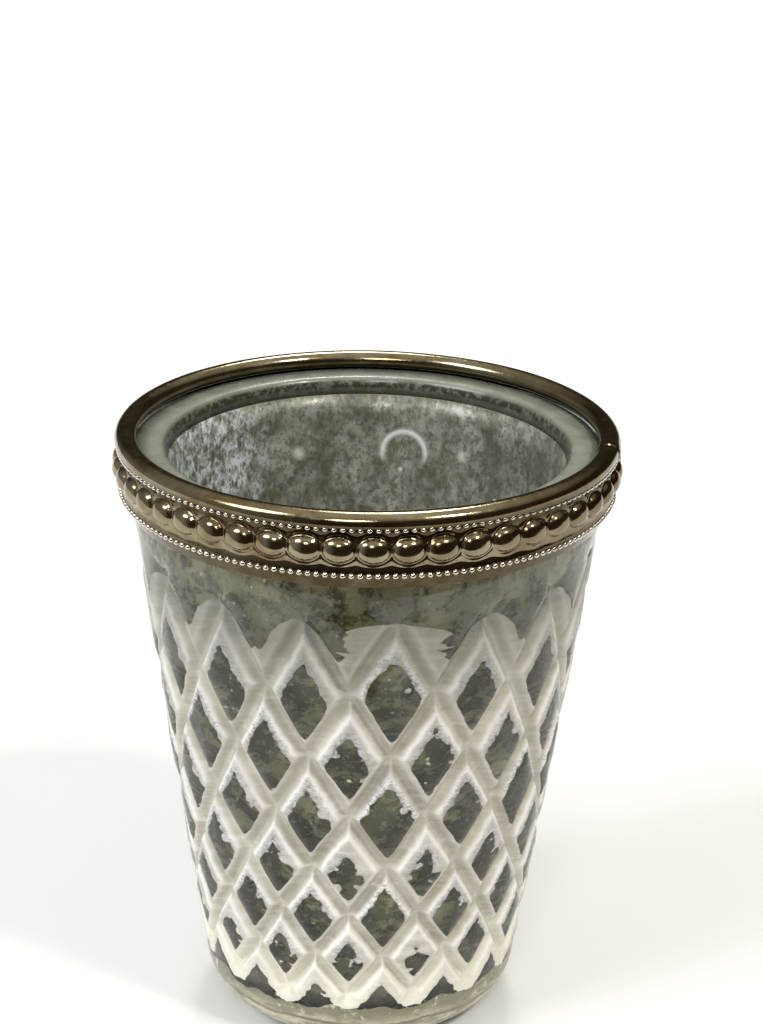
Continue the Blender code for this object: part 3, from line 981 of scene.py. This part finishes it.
def build_floor():
    """Plain pale floor."""
    mesh = bpy.data.meshes.new("floor")
    side = 1.4
    front = -0.14
    back = 1.8
    low = -0.0001
    corners = [(-side, front, low), (side, front, low), (side, back, low), (-side, back, low)]
    mesh.from_pydata(corners, [], [(0, 1, 2, 3)])
    floor = bpy.data.objects.new("floor", mesh)
    bpy.context.scene.collection.objects.link(floor)
    n = Nodes("pale_floor")
    n.set(base_color=(0.88, 0.89, 0.91), roughness=0.8)
    mesh.materials.append(n.material)


def sun_light(name, azimuth, elevation, width, strength, colour):
    """Distant soft light; angles in degrees, azimuth 0 in front and 90 on the right."""
    data = bpy.data.lights.new(name, "SUN")
    data.angle = math.radians(width)
    data.energy = strength
    data.color = colour
    lamp = bpy.data.objects.new(name, data)
    side = math.radians(azimuth)
    high = math.radians(elevation)
    toward = Vector((math.sin(side) * math.cos(high), -math.cos(side) * math.cos(high), math.sin(high)))
    lamp.rotation_euler = toward.to_track_quat("Z", "Y").to_euler()
    bpy.context.scene.collection.objects.link(lamp)


def build_world():
    """White behind the object; in reflections, a dim warm room with a pale ceiling and left side."""
    world = bpy.data.worlds.new("studio")
    world.use_nodes = True
    tree = world.node_tree
    new = tree.nodes.new
    link = tree.links.new
    parts = new("ShaderNodeSeparateXYZ")
    link(new("ShaderNodeTexCoord").outputs["Generated"], parts.inputs[0])
    height = new("ShaderNodeValToRGB")
    link(parts.outputs["Z"], height.inputs["Fac"])
    floor_to_ceiling = [(0.0, (0.06, 0.045, 0.03)), (0.45, (0.05, 0.04, 0.025))]
    floor_to_ceiling += [(0.7, (0.42, 0.40, 0.33)), (1.0, (0.86, 0.83, 0.74))]
    fill_ramp(height.color_ramp, floor_to_ceiling)
    left = new("ShaderNodeMath")
    left.operation = "MULTIPLY"
    left.inputs[1].default_value = -1.0
    link(parts.outputs["X"], left.inputs[0])
    share = new("ShaderNodeValToRGB")
    fill_ramp(share.color_ramp, [(0.45, 0.0), (0.9, 0.7)])
    link(left.outputs[0], share.inputs["Fac"])
    glow = new("ShaderNodeMix")
    glow.data_type = "RGBA"
    link(share.outputs["Color"], glow.inputs[0])
    link(height.outputs["Color"], glow.inputs[6])
    glow.inputs[7].default_value = (0.52, 0.53, 0.54, 1.0)
    room = tree.nodes["Background"]
    link(glow.outputs[2], room.inputs["Color"])
    backdrop = new("ShaderNodeBackground")
    backdrop.inputs["Color"].default_value = (1.0, 1.0, 1.0, 1.0)
    blend = new("ShaderNodeMixShader")
    link(new("ShaderNodeLightPath").outputs["Is Camera Ray"], blend.inputs["Fac"])
    link(room.outputs[0], blend.inputs[1])
    link(backdrop.outputs[0], blend.inputs[2])
    link(blend.outputs[0], tree.nodes["World Output"].inputs["Surface"])
    bpy.context.scene.world = world


def build_camera():
    """Camera a little above the mouth, looking down at the front of the cup."""
    level_ahead = Vector((math.sin(CAMERA_YAW), math.cos(CAMERA_YAW), 0.0))
    level = Vector((math.cos(CAMERA_YAW), -math.sin(CAMERA_YAW), 0.0))
    ahead = math.cos(CAMERA_PITCH) * level_ahead - math.sin(CAMERA_PITCH) * Vector((0.0, 0.0, 1.0))
    upright = level.cross(ahead)
    right = math.cos(CAMERA_ROLL) * level + math.sin(CAMERA_ROLL) * upright
    up = -math.sin(CAMERA_ROLL) * level + math.cos(CAMERA_ROLL) * upright
    turn = Matrix((right, up, -ahead)).transposed().to_4x4()
    data = bpy.data.cameras.new("camera")
    data.sensor_fit = "AUTO"
    data.sensor_width = 36.0
    data.lens = CAMERA_LENS
    data.clip_start = 0.01
    camera = bpy.data.objects.new("camera", data)
    camera.matrix_world = Matrix.Translation(CAMERA_PLACE) @ turn
    bpy.context.scene.collection.objects.link(camera)
    bpy.context.scene.camera = camera


def main():
    """Studio first, then every piece with its material."""
    for item in list(bpy.data.objects):
        if item.type in ("LIGHT", "CAMERA"):
            bpy.data.objects.remove(item, do_unlink=True)
    build_camera()
    build_world()
    build_floor()
    sun_light("ceiling_lamp", 175.0, 50.0, 14.0, 0.8, (1.0, 0.98, 0.94))
    sun_light("window", -60.0, 42.0, 26.0, 1.45, (0.94, 0.96, 1.0))
    sun_light("lamp", 50.0, 52.0, 9.0, 1.25, (1.0, 0.97, 0.91))
    sun_light("fill", -8.0, 34.0, 16.0, 0.7, (1.0, 0.98, 0.94))
    build_glass(glass_material())
    build_lip(lip_material())
    build_foot_light_sheet(foot_light_material())
    build_paint(paint_material())
    coat_shell("silver_inside", 0.02, 0.10, silver_inside_material())
    coat_shell("silver_back", -0.10, 0.0, silver_back_material())
    build_band(band_material("band_nickel", False))
    # The fine beads take the lighter copy of the band's metal: painted highlight.
    build_beading(band_material("beading_nickel", True))
    build_adhesive(adhesive_material())
    bpy.context.scene.view_settings.view_transform = "Standard"


main()
